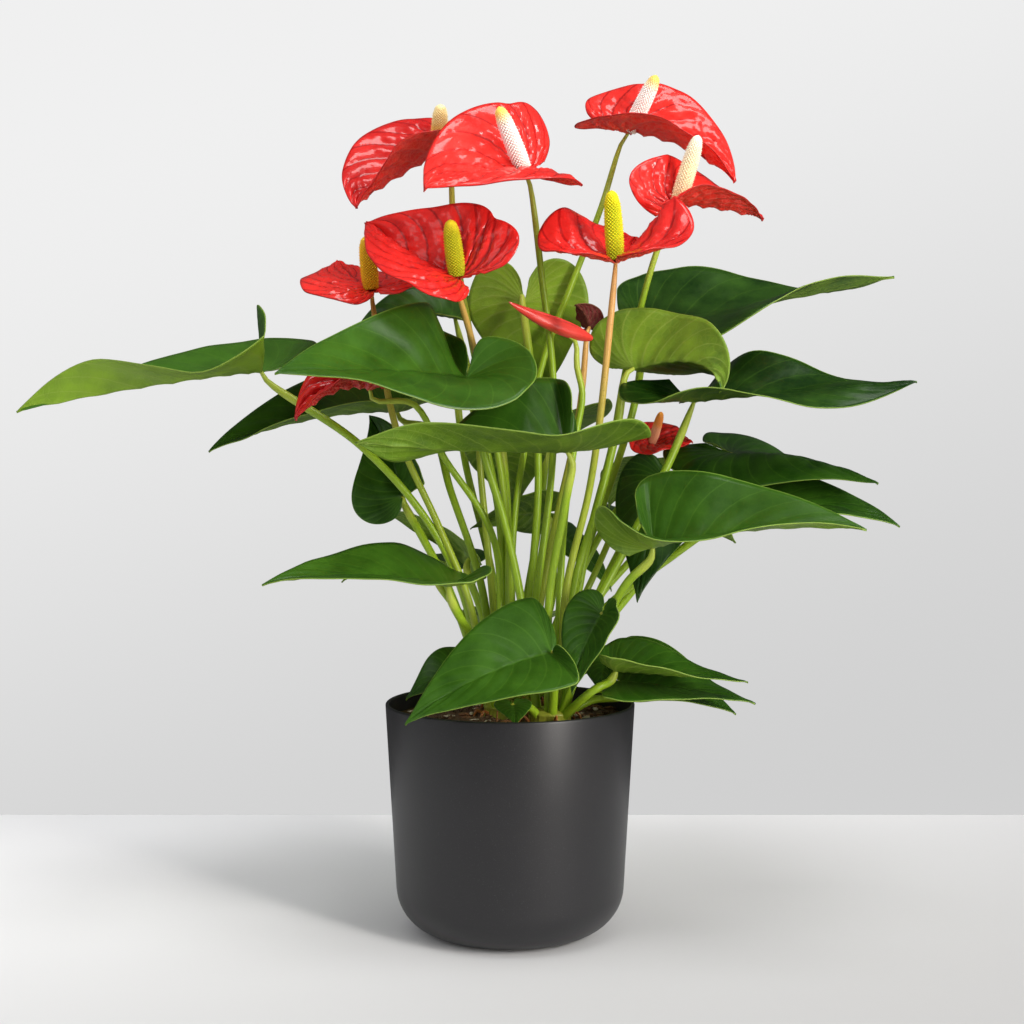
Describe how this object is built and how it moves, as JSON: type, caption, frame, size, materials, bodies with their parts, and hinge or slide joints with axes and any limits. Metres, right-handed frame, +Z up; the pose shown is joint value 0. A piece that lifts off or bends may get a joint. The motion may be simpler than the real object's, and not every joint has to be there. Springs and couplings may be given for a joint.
{
  "type": "potted anthurium",
  "caption": "Anthurium in flower, with heart-shaped leathery leaves and red waxy spathes on long stalks, in a round anthracite plastic pot with a rounded foot.",
  "frame": {"origin": "middle of the pot's flat base, on the surface it stands on", "axes": "+Z up; the plant's front, from which it is usually seen, faces -Y"},
  "size_m": [0.6372, 0.3703, 0.6306],
  "materials": {
    "pot_plastic": "satin, fine-grained anthracite",
    "peat": "matt, crumbly peat with bark and fibres",
    "petiole": "smooth yellow-green stem",
    "leaf": "leathery, semi-gloss deep green, paler below",
    "spathe": "waxy, glossy red with embossed veins",
    "spadix": "matt cream to yellow, close florets",
    "withered": "dry, wrinkled dark red"
  },
  "bodies": {
    "root": {"pot": "pot_plastic", "soil": "peat", "stems_left": "petiole", "stems_right": "petiole", "stems_back": "petiole", "leaf_at_soil": "leaf", "leaf_back_hanging": "leaf", "leaf_back_right": "leaf", "leaf_centre_back": "leaf", "leaf_centre_right": "leaf", "leaf_centre_under": "leaf", "leaf_far_left": "leaf", "leaf_front_low": "leaf", "leaf_front_middle": "leaf", "leaf_left_behind": "leaf", "leaf_left_big": "leaf", "leaf_left_folded": "leaf", "leaf_left_low": "leaf", "leaf_low_behind_front": "leaf", "leaf_low_dark": "leaf", "leaf_low_left": "leaf", "leaf_low_left_behind": "leaf", "leaf_low_middle": "leaf", "leaf_low_right_back": "leaf", "leaf_low_right_front": "leaf", "leaf_low_right_middle": "leaf", "leaf_rear_high": "leaf", "leaf_rear_left": "leaf", "leaf_rear_low": "leaf", "leaf_rear_middle": "leaf", "leaf_rear_right": "leaf", "leaf_right": "leaf", "leaf_right_behind": "leaf", "leaf_right_dark": "leaf", "leaf_right_front": "leaf", "leaf_right_glossy": "leaf", "leaf_right_light": "leaf", "leaf_right_mid": "leaf", "spathe_hidden_left": "spathe", "spathe_left": "spathe", "spathe_middle_left": "spathe", "spathe_middle_right": "spathe", "spathe_small_right": "spathe", "spathe_top_centre": "spathe", "spathe_top_left": "spathe", "spathe_top_right": "spathe", "spathe_upper_right": "spathe", "spadix_left": "spadix", "spadix_middle_left": "spadix", "spadix_middle_right": "spadix", "spadix_small_right": "spadix", "spadix_top_centre": "spadix", "spadix_top_left": "spadix", "spadix_top_right": "spadix", "spadix_upper_right": "spadix", "bud": "spathe", "withered_bloom": "withered"}
  },
  "joints": []
}
